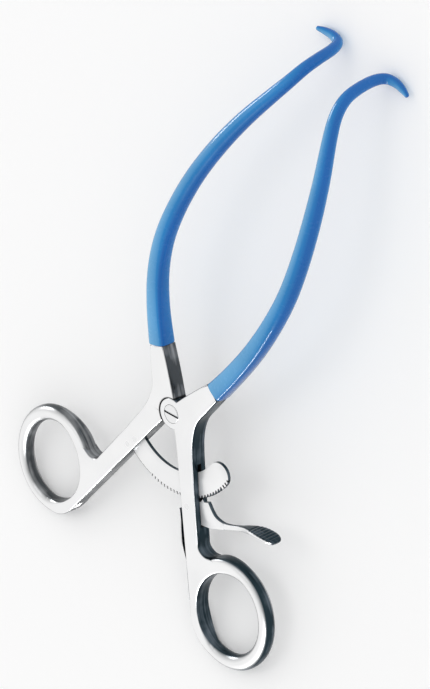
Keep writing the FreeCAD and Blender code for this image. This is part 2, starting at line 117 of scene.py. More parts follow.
@dataclass
class Plane:
    """The plane of the joint as it lies tipped on the table."""

    origin: Vector
    up: Vector

    @classmethod
    def of_frame(cls, frame: dict) -> Plane:
        """Read the plane from the handle hinge.


        Returns:
            The plane through the pivot, square to the hinge.
        """
        hinge = next(j for j in frame["joints"] if j["name"] == "handle_hinge")
        return cls(Vector(hinge["pos_m"]), Vector(hinge["axis"]).normalized())

    @property
    def across(self) -> Vector:
        """Direction to the right half."""
        return Vector((1.0, 0.0, 0.0))

    @property
    def ahead(self) -> Vector:
        """Direction to the prongs."""
        return self.up.cross(self.across)

    @property
    def matrix(self) -> Matrix:
        """Change of place from the plane to the table.

        Returns:
            The matrix from millimetres of the plane to metres of the table.
        """
        turn = Matrix((self.across, self.ahead, self.up)).transposed().to_4x4()
        turn.translation = self.origin
        return turn @ Matrix.Scale(MM, 4)


# Modelling helpers


def deselect() -> None:
    """Leave edit mode and select nothing."""
    if bpy.context.object and bpy.context.object.mode != "OBJECT":
        bpy.ops.object.mode_set(mode="OBJECT")
    bpy.ops.object.select_all(action="DESELECT")


def take(obj: Piece) -> None:
    """Make an object the only selected and the active one.

    Args:
        obj: the object.
    """
    deselect()
    obj.select_set(True)
    bpy.context.view_layer.objects.active = obj


def enter_edit() -> None:
    """Enter edit mode with everything selected."""
    bpy.ops.object.mode_set(mode="EDIT")
    bpy.ops.mesh.select_all(action="SELECT")


def leave_edit() -> None:
    """Turn every face outward and leave edit mode."""
    bpy.ops.mesh.select_all(action="SELECT")
    bpy.ops.mesh.normals_make_consistent(inside=False)
    bpy.ops.object.mode_set(mode="OBJECT")


def pull_up(height: float) -> None:
    """Extrude what is selected upward."""
    bpy.ops.mesh.extrude_region_move(TRANSFORM_OT_translate={"value": (0.0, 0.0, height)})


def apply_modifier(obj: Piece, kind: str, **values: object) -> None:
    """Add a modifier, set it and apply it.

    Args:
        obj: the piece.
        kind: the modifier's type, such as BEVEL.
        values: its settings.
    """
    take(obj)
    bpy.ops.object.modifier_add(type=kind)
    modifier = obj.modifiers[-1]
    for key, value in values.items():
        setattr(modifier, key, value)
    bpy.ops.object.modifier_apply(modifier=modifier.name)


def smooth(obj: Piece, degrees: float = CRISP) -> None:
    """Shade a piece smooth, with edges sharper than an angle kept crisp."""
    take(obj)
    bpy.ops.object.shade_smooth_by_angle(angle=math.radians(degrees))


def tidy_normals(obj: Piece) -> None:
    """Merge doubles and turn every face outward.

    Args:
        obj: the piece.
    """
    take(obj)
    enter_edit()
    bpy.ops.mesh.remove_doubles(threshold=DOUBLES)
    leave_edit()


def cut(obj: Piece, tool: Piece) -> None:
    """Cut a tool's shape out of a piece and drop the tool."""
    apply_modifier(obj, "BOOLEAN", operation="DIFFERENCE", object=tool, solver="EXACT")
    bpy.data.objects.remove(tool)


def break_edges(obj: Piece, width: float, sharper: float) -> None:
    """Round off the sharp edges a little and shade the piece smooth between them.

    Args:
        obj: the piece.
        width: how wide the rounding is.
        sharper: the angle from which an edge is rounded, in degrees.
    """
    apply_modifier(obj, "BEVEL", width=width, segments=2, limit_method="ANGLE",
                   angle_limit=math.radians(sharper))
    smooth(obj)


def lay(obj: Piece, plane: Plane) -> None:
    """Move a piece drawn in the plane of the joint to its place on the table."""
    obj.data.transform(plane.matrix)
    obj.data.update()


def outline_plate(name: str, outline: list[Pair], thick: float) -> Piece:
    """A flat plate: a filled circle whose points are moved to an outline, then extruded.

    Args:
        name: the piece's name.
        outline: corners of the outline in order.
        thick: its thickness, half of it on each side of the plane.

    Returns:
        The plate, in the plane of the joint.
    """
    deselect()
    bpy.ops.mesh.primitive_circle_add(vertices=len(outline), radius=1.0, fill_type="NGON")
    obj = bpy.context.object
    obj.name = name
    for vertex, (x, y) in zip(obj.data.vertices, outline):
        vertex.co = (x, y, -thick / 2.0)
    enter_edit()
    pull_up(thick)
    leave_edit()
    return obj


@dataclass
class Section:
    """One closed cross-section of a lofted piece."""

    centre: Vector
    side: Vector
    up: Vector
    width: float
    depth: float
    square: float = 2.0    # 2 is round, and more is squarer
    sunk: float = 0.0      # how far the upper face is pressed in, for a groove

    def point(self, angle: float) -> Vector:
        """A point of the section.

        Args:
            angle: the point's angle from the side direction, in radians.

        Returns:
            The point, in the plane of the joint.
        """
        c, s = math.cos(angle), math.sin(angle)
        u = math.copysign(abs(c) ** (2.0 / self.square), c) * self.width / 2.0
        v = math.copysign(abs(s) ** (2.0 / self.square), s) * self.depth / 2.0
        if s > UPPER:
            v -= self.sunk
        return self.centre + self.side * u + self.up * v


def loft(name: str, sections: list[Section], around: int, levels: int) -> Piece:
    """A closed tube: one circle for each section, bridged, capped and subdivided.

    Args:
        name: the piece's name.
        sections: the sections in order, from the start to the far end.
        around: points in each section.
        levels: levels of subdivision.

    Returns:
        The piece, in the plane of the joint.
    """
    # subdivision pulls a circle's points in by this much, so they start further out
    shrink = (2.0 + math.cos(2.0 * math.pi / around)) / 3.0
    rings = []
    for part in sections:
        deselect()
        bpy.ops.mesh.primitive_circle_add(vertices=around, radius=1.0)
        ring = bpy.context.object
        for i, vertex in enumerate(ring.data.vertices):
            on = part.point(2.0 * math.pi * i / around)
            vertex.co = part.centre + (on - part.centre) / shrink
        rings.append(ring)
    deselect()
    for ring in rings:
        ring.select_set(True)
    bpy.context.view_layer.objects.active = rings[0]
    bpy.ops.object.join()
    obj = bpy.context.object
    obj.name = name
    enter_edit()
    bpy.ops.mesh.bridge_edge_loops(type="SINGLE")
    bpy.ops.mesh.select_all(action="DESELECT")
    bpy.ops.mesh.select_non_manifold(extend=False)
    bpy.ops.mesh.edge_face_add()
    leave_edit()
    apply_modifier(obj, "SUBSURF", levels=levels, render_levels=levels)
    smooth(obj, CRISP_LOFT)
    return obj


def between(stations: Stations, i: int, steps: int) -> list[float]:
    """Values at one of the steps from each station to the next.

    Args:
        stations: rows of values.
        i: the step's number, counted from the first station.
        steps: how many there are from a station to the next.

    Returns:
        The values there.
    """
    k, part = divmod(i, steps)
    here, after = stations[k], stations[min(k + 1, len(stations) - 1)]
    return [p + (q - p) * part / steps for p, q in zip(here, after)]


def catmull(points: list[Vector], steps: int) -> list[Vector]:
    """Points of a smooth line through other points.

    Args:
        points: the points it passes through.
        steps: how many it gets from each point to the next.

    Returns:
        The points of the line, both ends included.
    """
    padded = [points[0] * 2.0 - points[1], *points, points[-1] * 2.0 - points[-2]]
    line = []
    for k in range(1, len(padded) - 2):
        a, b, c, d = padded[k - 1:k + 3]
        for i in range(steps):
            t = i / steps
            line.append(0.5 * (2 * b + (c - a) * t + (2 * a - 5 * b + 4 * c - d) * t ** 2
                               + (3 * b - a - 3 * c + d) * t ** 3))
    line.append(points[-1].copy())
    return line


def curve(points: tuple[Pair, ...], steps: int) -> list[Vector]:
    """Points of a smooth line through corners given by X and Y."""
    return catmull([Vector((*point, 0.0)) for point in points], steps)


def heading(line: list[Vector], i: int) -> Vector:
    """Way from the point before one of a line's points to the point after it."""
    return line[min(i + 1, len(line) - 1)] - line[max(i - 1, 0)]


def polar(radius: float, degrees: float) -> Pair:
    """A point at an angle measured from straight back toward the right."""
    a = math.radians(degrees)
    return radius * math.sin(a), -radius * math.cos(a)


def arc(radius: float, start: float, end: float, step: float) -> list[Pair]:
    """Points of an arc round the pivot, both ends included.

    Args:
        radius: its radius.
        start: the angle that it starts at, in degrees.
        end: the angle that it ends at.
        step: degrees from a point to the next, at most.

    Returns:
        The points in order.
    """
    count = math.ceil(abs(end - start) / step)
    turn = math.copysign(step, end - start)
    return [polar(radius, start + turn * i) for i in range(count)] + [polar(radius, end)]


# Finishes


class Nodes:
    """A small pencil for drawing a material's nodes."""

    def __init__(self, name: str) -> None:
        """Start a material with its shader.

        Args:
            name: the material's name.
        """
        self.material = bpy.data.materials.new(name)
        self.material.use_nodes = True
        self.tree = self.material.node_tree
        self.shader = self.tree.nodes["Principled BSDF"]
        self.place = self.add("ShaderNodeTexCoord")

    def add(self, kind: str, **values: object) -> bpy.types.Node:
        """Add a node and set its properties.

        Args:
            kind: the node's type.
            values: its properties.

        Returns:
            The node.
        """
        node = self.tree.nodes.new(kind)
        for key, value in values.items():
            setattr(node, key, value)
        return node

    def link(self, source: Socket, target: Socket) -> None:
        """Join two sockets."""
        self.tree.links.new(source, target)

    def fix(self, socket: str, value: object) -> None:
        """Set one of the shader's own sockets."""
        self.shader.inputs[socket].default_value = value

    def drive(self, socket: str, source: Socket) -> None:
        """Let a drawn value drive one of the shader's sockets."""
        self.link(source, self.shader.inputs[socket])

    def pattern(self, mapping: bpy.types.Node, scale: float, detail: float = 2.0) -> Socket:
        """Noise on the piece's own coordinates, through a mapping of them.

        Args:
            mapping: the Mapping node.
            scale: grains to the metre.
            detail: octaves.

        Returns:
            The noise from 0 to 1.
        """
        self.link(self.place.outputs["Object"], mapping.inputs["Vector"])
        node = self.add("ShaderNodeTexNoise")
        node.inputs["Scale"].default_value = scale
        node.inputs["Detail"].default_value = detail
        self.link(mapping.outputs["Vector"], node.inputs["Vector"])
        return node.outputs["Fac"]

    def noise(self, scale: float, stretch: Triple = (1.0, 1.0, 1.0), detail: float = 2.0) -> Socket:
        """Plain or stretched noise.

        Args:
            scale: grains to the metre.
            stretch: scale of the pattern along X, Y and Z.
            detail: octaves.

        Returns:
            The noise from 0 to 1.
        """
        mapping = self.add("ShaderNodeMapping")
        mapping.inputs["Scale"].default_value = stretch
        return self.pattern(mapping, scale, detail)

    def streaks(self, plane: Plane, scale: float, longer: float) -> Socket:
        """Noise drawn out along the plane of the joint.

        Args:
            plane: the plane of the joint.
            scale: streaks to the metre across the thickness.
            longer: how many times longer than wide they are.

        Returns:
            The noise from 0 to 1.
        """
        mapping = self.add("ShaderNodeMapping", vector_type="TEXTURE")
        mapping.inputs["Rotation"].default_value = (math.atan2(-plane.up.y, plane.up.z), 0.0, 0.0)
        mapping.inputs["Scale"].default_value = (longer, longer, 1.0)
        return self.pattern(mapping, scale)

    def grazing(self) -> Socket:
        """How far the surface turns away from the eye.

        Returns:
            The value from 0 to 1.
        """
        node = self.add("ShaderNodeLayerWeight")
        node.inputs["Blend"].default_value = 0.5
        return node.outputs["Facing"]

    def ramp(self, source: Socket, span: Pair, onto: Pair = UNIT) -> Socket:
        """A value moved from one range to another, held at both ends.

        Args:
            source: the value.
            span: the range that it is taken from.
            onto: the range that it is moved to.

        Returns:
            The moved value.
        """
        node = self.add("ShaderNodeMapRange")
        node.inputs["From Min"].default_value, node.inputs["From Max"].default_value = span
        node.inputs["To Min"].default_value, node.inputs["To Max"].default_value = onto
        self.link(source, node.inputs["Value"])
        return node.outputs["Result"]

    def mix(self, amount: Socket, low: Socket | Triple, high: Socket | Triple) -> Socket:
        """Two colours, each drawn or plain, mixed by an amount.

        Args:
            amount: 0 for the first colour, 1 for the second.
            low: the first colour.
            high: the second colour.

        Returns:
            The mixed colour.
        """
        node = self.add("ShaderNodeMix", data_type="RGBA")
        for colour, socket in zip((low, high), MIX_COLOURS):
            if isinstance(colour, tuple):
                node.inputs[socket].default_value = (*colour, 1.0)
            else:
                self.link(colour, node.inputs[socket])
        self.link(amount, node.inputs["Factor"])
        return node.outputs[MIX_RESULT]

    def multiply(self, colour: Socket, value: Socket) -> Socket:
        """A colour made lighter or darker.

        Args:
            colour: the colour.
            value: what it is multiplied by.

        Returns:
            The new colour.
        """
        node = self.add("ShaderNodeVectorMath", operation="SCALE")
        self.link(colour, node.inputs[0])
        self.link(value, node.inputs["Scale"])
        return node.outputs[0]

    def facing(self, direction: Triple) -> Socket:
        """How squarely the surface lies to a line of the object.

        Args:
            direction: the line.

        Returns:
            The value from 0 to 1, the same on both sides.
        """
        dot = self.add("ShaderNodeVectorMath", operation="DOT_PRODUCT")
        dot.inputs[1].default_value = Vector(direction).normalized()
        self.link(self.place.outputs["Normal"], dot.inputs[0])
        size = self.add("ShaderNodeMath", operation="ABSOLUTE")
        self.link(dot.outputs["Value"], size.inputs[0])
        return size.outputs[0]

    def measure(self, plane: Plane, direction: Vector) -> Socket:
        """Distance from the pivot along a direction of the table.

        Args:
            plane: the plane of the joint.
            direction: the direction.

        Returns:
            The distance, in metres.
        """
        off = self.add("ShaderNodeVectorMath", operation="SUBTRACT")
        off.inputs[1].default_value = plane.origin
        self.link(self.place.outputs["Object"], off.inputs[0])
        dot = self.add("ShaderNodeVectorMath", operation="DOT_PRODUCT")
        dot.inputs[1].default_value = direction
        self.link(off.outputs[0], dot.inputs[0])
        return dot.outputs["Value"]

    def math(self, operation: str, first: Socket, second: Socket | float = 0.0) -> Socket:
        """One sum of one or two values.

        Args:
            operation: the sum's name.
            first: the first value.
            second: the second value, drawn or plain.

        Returns:
            The result.
        """
        node = self.add("ShaderNodeMath", operation=operation)
        self.link(first, node.inputs[0])
        if isinstance(second, float):
            node.inputs[1].default_value = second
        else:
            self.link(second, node.inputs[1])
        return node.outputs[0]

    def radius(self, plane: Plane) -> Socket:
        """Distance from the hinge's axis.

        Args:
            plane: the plane of the joint.

        Returns:
            The distance, in metres.
        """
        across = self.measure(plane, plane.across)
        ahead = self.measure(plane, plane.ahead)
        total = self.math("ADD", self.math("MULTIPLY", across, across), self.math("MULTIPLY", ahead, ahead))
        return self.math("SQRT", total)

    def degrees(self, plane: Plane) -> Socket:
        """Angle round the hinge.

        Args:
            plane: the plane of the joint.

        Returns:
            The angle from straight back toward the right, in degrees.
        """
        back = self.math("MULTIPLY", self.measure(plane, plane.ahead), -1.0)
        turn = self.math("ARCTAN2", self.measure(plane, plane.across), back)
        return self.math("DEGREES", turn)

    def bump(self, height: Socket, depth: float, strength: float) -> None:
        """Raise the surface by a height.

        Args:
            height: the height, from 0 to 1.
            depth: the highest rise, in metres.
            strength: how strongly it shows.
        """
        node = self.add("ShaderNodeBump")
        node.inputs["Distance"].default_value = depth
        node.inputs["Strength"].default_value = strength
        self.link(height, node.inputs["Height"])
        self.drive("Normal", node.outputs["Normal"])


@dataclass(frozen=True)
class SatinSteel:
    """Stainless steel: satin on the flats, with a painted dark reflection and painted glint streaks on the
    narrow walls.
    """

    name: str = "satin_steel"
    flat: Triple = (0.90, 0.90, 0.902)
    worn: Triple = (0.85, 0.852, 0.856)
    # wall is a painted dark reflection on the walls, glint the painted highlight streaks on it
    wall: Triple = (0.022, 0.038, 0.048)
    glint: Triple = (0.13, 0.16, 0.19)
    rough: Pair = (0.285, 0.315)
    # the line that the flats lie square to, leaning a little toward the side the light comes from; what
    # turns from it gets the walls' painted reflection
    line: Triple = (-0.20, -0.34, 0.92)
    turn: Pair = (0.50, 0.95)             # how squarely walls and flats lie to it
    grain: float = 2600.0                 # scratches to the metre
    drawn: Triple = (1.0, 0.12, 1.0)      # how the scratches are drawn out
    octaves: float = 4.0
    scratch: Pair = (0.00001, 0.03)       # depth of the scratches in metres, and their strength
    cloud: float = 70.0                   # worn patches to the metre
    streak: Pair = (900.0, 22.0)          # streaks of the walls to the metre, and their length
    blotch: float = 160.0                 # blotches to the metre that break the streaks up
    streaked: Pair = (0.95, 1.35)         # sums of the two noises where a glint starts and is full
    edge: Pair = (0.58, 1.0)              # how far a flat turns from the eye before painted shade dims it
    edge_to: float = 0.25
    sheen_lost: float = 0.45              # how much of the flats' reflection the satin scatters
    slot: float = 0.0                     # flats nearer than this to the middle plane get painted shade, for the slot
    slot_soft: float = 1.05
    slot_to: float = 0.03
    shade: Pair | None = None             # radii where the painted shade round the hinge starts and is full
    shade_to: float = 0.12
    teeth: Triple | None = None           # first tooth, pitch and part in painted shade, in degrees
    tooth_soft: float = 1.25
    onset: Pair = (0.0, 0.02)             # pitches over which the teeth set in
    rim: float = 0.0                      # radius of the thin painted line of shade before the first tooth
    rim_soft: float = 0.1

    @classmethod
    def of_half(cls, side: Side) -> SatinSteel:
        """The finish of one half.

        Args:
            side: the half.

        Returns:
            The right half's finish with painted shade in its slot, or the left half's with painted
            shade in the gap round the sunk boss and a lighter painted reflection on its walls.
        """
        if side is Side.RIGHT:
            return cls(slot=0.78)
        return cls(name="satin_steel_left", shade=(5.25, 4.95), wall=(0.075, 0.082, 0.088),
                   glint=(0.30, 0.31, 0.32))

    @classmethod
    def of_bar(cls, bar: RatchetBar) -> SatinSteel:
        """The toothed bar's finish, with painted shade between its teeth and along the edge before them.

        Args:
            bar: the bar.

        Returns:
            The finish.
        """
        # painted shade between the teeth and along the plain edge
        early = 0.2     # degrees that the dark part starts before a tooth's foot
        part = 1.25     # degrees of a pitch that are dark
        line = 0.25     # width of the dark line before the first tooth
        fade = 0.2      # width over which the dark sets in
        foot = bar.tips - bar.depth
        return cls(name="toothed_steel", shade=(foot - fade, foot), shade_to=0.04,
                   teeth=(bar.first - early, bar.pitch, part), rim=bar.tips - bar.step - line)

    def walls(self, pen: Nodes, plane: Plane) -> Socket:
        """Colour of the walls: a painted dark reflection, with painted glint streaks along the plane of the
        joint.
        """
        streak = pen.math("ADD", pen.streaks(plane, *self.streak), pen.noise(self.blotch))
        return pen.mix(pen.ramp(streak, self.streaked), self.wall, self.glint)

    def flats(self, pen: Nodes, plane: Plane) -> Socket:
        """Colour of the flats, worn in patches, with painted shade in the slot and where a flat turns from
        the eye.

        Args:
            pen: the material's pencil.
            plane: the plane of the joint.

        Returns:
            The colour.
        """
        flat = pen.mix(pen.ramp(pen.noise(self.cloud), GRAINS), self.flat, self.worn)
        # painted shade inside the slot
        if self.slot:
            height = pen.math("ABSOLUTE", pen.measure(plane, plane.up))
            near = self.slot * MM
            flat = pen.multiply(flat, pen.ramp(height, (near, near * self.slot_soft), (self.slot_to, 1.0)))
        # painted shade where a flat turns from the eye
        return pen.multiply(flat, pen.ramp(pen.grazing(), self.edge, (1.0, self.edge_to)))

    def dark(self, pen: Nodes, plane: Plane) -> Socket:
        """How much painted shade a place gets round the boss, between the teeth and along the edge before
        them.

        Args:
            pen: the material's pencil.
            plane: the plane of the joint.

        Returns:
            The value from 0 to 1.
        """
        radius = pen.radius(plane)
        near, far = (value * MM for value in self.shade)
        dark = pen.ramp(radius, (near, far))
        if not self.teeth:
            return dark
        first, pitch, part = self.teeth
        turns = pen.math("DIVIDE", pen.math("SUBTRACT", pen.degrees(plane), first), pitch)
        share = part / pitch
        gap = pen.ramp(pen.math("FRACT", turns), (share, self.tooth_soft * share), FALLING)
        toothed = pen.math("MULTIPLY", pen.math("MULTIPLY", dark, gap), pen.ramp(turns, self.onset))
        line = pen.ramp(radius, (self.rim * MM, (self.rim + self.rim_soft) * MM))
        return pen.math("ADD", toothed, pen.math("MULTIPLY", line, pen.ramp(turns, self.onset, FALLING)))

    def make(self, plane: Plane) -> bpy.types.Material:
        """Draw the material round the hinge of a plane.

        Args:
            plane: the plane of the joint.

        Returns:
            The material.
        """
        pen = Nodes(self.name)
        grain = pen.noise(self.grain, self.drawn, self.octaves)
        # the walls get their painted reflection, the flats their own colour
        on_flat = pen.ramp(pen.facing(self.line), self.turn)
        colour = pen.mix(on_flat, self.walls(pen, plane), self.flats(pen, plane))
        # painted shade round the boss and between the teeth
        if self.shade:
            colour = pen.multiply(colour, pen.ramp(self.dark(pen, plane), UNIT, (1.0, self.shade_to)))
        pen.drive("Base Color", colour)
        pen.drive("Metallic", pen.ramp(on_flat, UNIT, (1.0, 1.0 - self.sheen_lost)))
        pen.drive("Roughness", pen.ramp(grain, GRAINS, self.rough))
        pen.bump(grain, *self.scratch)
        return pen.material


@dataclass(frozen=True)
class DipCoating:
    """Glossy blue insulation with painted shade: darker on its sides than on its top, and dimmer where a
    side turns from the eye.
    """

    name: str = "dip_coating"
    # lit and shaded copies of one blue: top painted light, body the middle, side painted shade
    top: Triple = (0.15, 0.42, 0.70)
    body: Triple = (0.014, 0.21, 0.53)
    side: Triple = (0.006, 0.125, 0.43)
    # the line that the top lies square to, which sets where painted light and painted shade fall, and how
    # squarely side, body and top lie to it
    line: Triple = (-0.38, -0.32, 0.87)
    turn: Triple = (0.25, 0.72, 1.0)
    edge: Pair = (0.66, 1.0)              # how far a side turns from the eye before painted shade dims it
    edge_to: float = 0.5
    cloud: float = 55.0                   # lighter and darker patches to the metre
    clouded: Pair = (0.92, 1.06)
    peel: float = 650.0                   # waves of the surface to the metre
    wave: Pair = (0.00003, 0.25)          # depth of the waves in metres, and their strength
    rough: Pair = (0.20, 0.30)
    gloss: tuple[tuple[str, float], ...] = (
        ("IOR", 1.5), ("Specular IOR Level", 0.15), ("Coat Weight", 0.5), ("Coat IOR", 1.4),
        ("Coat Roughness", 0.04))

    def make(self) -> bpy.types.Material:
        """Draw the material.

        Returns:
            The material.
        """
        pen = Nodes(self.name)
        for socket, value in self.gloss:
            pen.fix(socket, value)
        facing = pen.facing(self.line)
        # painted light and shade: lighter where the surface lies square to the line, deeper on the sides
        lower = pen.mix(pen.ramp(facing, self.turn[:2]), self.side, self.body)
        colour = pen.mix(pen.ramp(facing, self.turn[1:]), lower, self.top)
        # painted shade where a side turns from the eye
        colour = pen.multiply(colour, pen.ramp(pen.grazing(), self.edge, (1.0, self.edge_to)))
        colour = pen.multiply(colour, pen.ramp(pen.noise(self.cloud), GRAINS, self.clouded))
        peel = pen.noise(self.peel)
        pen.drive("Base Color", colour)
        pen.drive("Roughness", pen.ramp(peel, GRAINS, self.rough))
        pen.bump(peel, *self.wave)
        return pen.material


def give_finish(obj: Piece, material: bpy.types.Material) -> None:
    """Give a piece its finish.

    Args:
        obj: the piece, or a node of the frame.
        material: the finish.
    """
    obj.data.materials.clear()
    obj.data.materials.append(material)


def settle(obj: Piece, body: str, *nodes: str) -> None:
    """Let a finished piece ride on a body and stand for its nodes.

    Args:
        obj: the piece.
        body: the body's name.
        nodes: the nodes that it replaces.
    """
    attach(obj, body)
    if nodes:
        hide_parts(*nodes)
    LOG.info("%s rides on %s and stands for %s", obj.name, body, ", ".join(nodes) or "no node")


# Pieces


@dataclass
class Forging:
    """One half: boss, neck, shank and finger ring, from the frame's own solid."""

    side: Side
    level: float = 0.9998     # faces that lie this square to the hinge are flats
    crisp: float = 40.0       # degrees: sharper edges stay crisp

    def build(self, frame: dict, plane: Plane) -> Piece:
        """Copy the node, merge its loose triangles and shade it smooth beside its flats.

        Args:
            plane: the plane of the joint.

        Returns:
            The forging, on the table.
        """
        node = frame["nodes"][self.side.body]
        obj = node.copy()
        obj.data = node.data.copy()
        obj.parent = None
        obj.name = self.side.word + "_forging"
        bpy.context.scene.collection.objects.link(obj)
        tidy_normals(obj)
        smooth(obj, self.crisp)
        for face in obj.data.polygons:
            if abs(face.normal.dot(plane.up)) > self.level:
                face.use_smooth = False
        return obj

    def dress(self, obj: Piece, steel: bpy.types.Material) -> None:
        """Finish the forging, which stands for its node."""
        give_finish(obj, steel)
        settle(obj, self.side.body, self.side.body)


@dataclass
class RingRoot:
    """Where the flat shank rounds off into the finger ring, drawn along the ring's centre line."""

    side: Side
    x: float = 38.5
    y: float = -47.0
    half_wide: float = 14.0
    longer: float = 1.4
    ends: float = 0.8
    outer: float = 180.0      # degrees round the ring where the arc of its outer side has its middle
    # degrees round the ring, reach outward, reach inward, half thickness, squareness
    stations: Stations = (
        (74.0, 2.38, 2.38, 2.38, 2.0), (88.0, 2.415, 2.415, 2.42, 2.1), (104.0, 2.42, 2.42, 2.51, 2.8),
        (122.0, 2.42, 2.43, 2.62, 4.3), (140.0, 2.3, 2.43, 2.63, 5.0), (160.0, 2.1, 2.43, 2.63, 5.0),
        (180.0, 1.9, 2.43, 2.63, 5.0), (192.0, 1.0, 2.43, 2.63, 5.0), (206.0, 0.52, 2.43, 2.63, 7.0),
        (213.0, 0.8, 2.43, 2.64, 12.0), (219.0, 1.02, 2.42, 2.64, 12.0), (226.0, 1.25, 2.42, 2.63, 9.0),
        (234.0, 1.57, 2.42, 2.59, 6.0), (244.0, 2.04, 2.42, 2.5, 3.6), (256.0, 2.38, 2.4, 2.41, 2.2),
        (268.0, 2.38, 2.38, 2.38, 2.0))
    steps: int = 3
    around: int = 40
    levels: int = 2

    def point(self, degrees: float, out: Vector) -> Vector:
        """A point of the ring's centre line, which is an oval of four arcs.

        Args:
            degrees: the point's angle round the ring.
            out: the direction at that angle.

        Returns:
            The point.
        """
        reach = self.longer + self.ends
        c = (reach ** 2 - self.ends ** 2) / (2.0 * self.ends)
        corner = math.degrees(math.atan2(reach, c))
        middle = Vector((self.x, self.y, 0.0))
        if abs(degrees - self.outer) < corner:
            return middle + Vector((c, 0.0, 0.0)) + out * (self.half_wide + c)
        shift = math.copysign(reach, self.outer - degrees)
        return middle + Vector((0.0, shift, 0.0)) + out * (self.half_wide - self.ends)

    def build(self, plane: Plane) -> Piece:
        """Loft along the ring, square where the shank runs out on it and round beyond.

        Args:
            plane: the plane of the joint.

        Returns:
            The ring's root, on the table.
        """
        parts = []
        for i in range((len(self.stations) - 1) * self.steps + 1):
            degrees, outward, inward, half, square = between(self.stations, i, self.steps)
            a = math.radians(degrees)
            out = Vector((math.cos(a), math.sin(a), 0.0))
            centre = self.point(degrees, out) + out * (outward - inward) / 2.0
            centre.x *= self.side.value
            out.x *= self.side.value
            parts.append(Section(centre, out, OUT, outward + inward, 2.0 * half, square))
        obj = loft(self.side.word + "_ring_root", parts, self.around, self.levels)
        lay(obj, plane)
        return obj

    def dress(self, obj: Piece, steel: bpy.types.Material) -> None:
        """Finish the root, which rides on its half."""
        give_finish(obj, steel)
        settle(obj, self.side.body)


@dataclass
class CoatedArm:
    """The dipped coating of one arm, from its lip at the neck to the prong's point."""

    side: Side
    # centre line of the right arm: x, y, z, width, depth, squareness
    stations: Stations = (
        (12.1, 16.6, 0.0, 6.1, 5.9, 4.5), (16.4, 26.0, 0.2, 5.8, 5.5, 4.0),
        (20.1, 36.0, -0.2, 5.7, 5.4, 3.2), (22.3, 46.0, -1.6, 5.7, 5.5, 2.5),
        (22.8, 56.0, -4.1, 5.65, 5.6, 2.1), (21.6, 67.0, -6.9, 5.5, 5.5, 2.0),
        (19.0, 78.0, -10.3, 5.25, 5.25, 2.0), (15.6, 88.0, -13.9, 4.8, 4.8, 2.0),
        (12.0, 96.3, -17.2, 4.25, 4.25, 2.0), (9.3, 102.6, -20.3, 3.85, 3.85, 2.0),
        (8.1, 106.8, -24.0, 3.6, 3.6, 2.0), (7.9, 109.0, -29.0, 3.4, 3.4, 2.0),
        (8.2, 110.2, -34.0, 3.3, 3.3, 2.0), (9.6, 110.8, -37.2, 3.1, 3.1, 2.0),
        (12.6, 111.0, -38.1, 2.7, 2.7, 2.0), (15.6, 110.7, -37.9, 2.1, 2.1, 2.0),
        (17.9, 110.3, -37.4, 1.3, 1.3, 2.0))
    steps: int = 3
    around: int = 12
    levels: int = 2
    # how far along each ring of the lip lies, and how much wider than the arm it is
    lip: tuple[Pair, ...] = ((0.0, -0.8), (0.0, -0.1), (0.12, 0.0), (0.7, 0.04))
    # how far past the last station each ring of the tip lies, and its share of the width
    tip: tuple[Pair, ...] = ((0.12, 0.82), (0.28, 0.5))

    def sections(self) -> list[Section]:
        """Sections along the arm, with the lip ahead of them and the tip after.

        Returns:
            The sections in order.
        """
        line = catmull([Vector(s[:3]) for s in self.stations], self.steps)
        line = [Vector((p.x * self.side.value, p.y, p.z)) for p in line]
        tangents = [heading(line, i).normalized() for i in range(len(line))]
        side = tangents[0].cross(OUT)
        parts = []
        for i, (centre, tangent) in enumerate(zip(line, tangents)):
            side = (side - tangent * side.dot(tangent)).normalized()
            width, depth, square = between(self.stations, i, self.steps)[3:]
            parts.append(Section(centre, side.copy(), side.cross(tangent), width, depth, square))
        first, start = parts[0], []
        for along, grown in self.lip:
            start.append(Section(first.centre + tangents[0] * along, first.side, first.up,
                                 first.width + grown, first.depth + grown, first.square))
        last, end = parts[-1], []
        for along, left in self.tip:
            end.append(Section(last.centre + tangents[-1] * along, last.side, last.up,
                               last.width * left, last.depth * left))
        return start + parts[1:] + end

    def build(self, plane: Plane) -> Piece:
        """Loft the coating and lay it on the table.

        Args:
            plane: the plane of the joint.

        Returns:
            The coating.
        """
        obj = loft(self.side.word + "_dipped_arm", self.sections(), self.around, self.levels)
        lay(obj, plane)
        return obj

    def dress(self, obj: Piece, blue: bpy.types.Material) -> None:
        """Finish the coating, which stands for its node."""
        give_finish(obj, blue)
        settle(obj, self.side.body, self.side.word + "_coating")


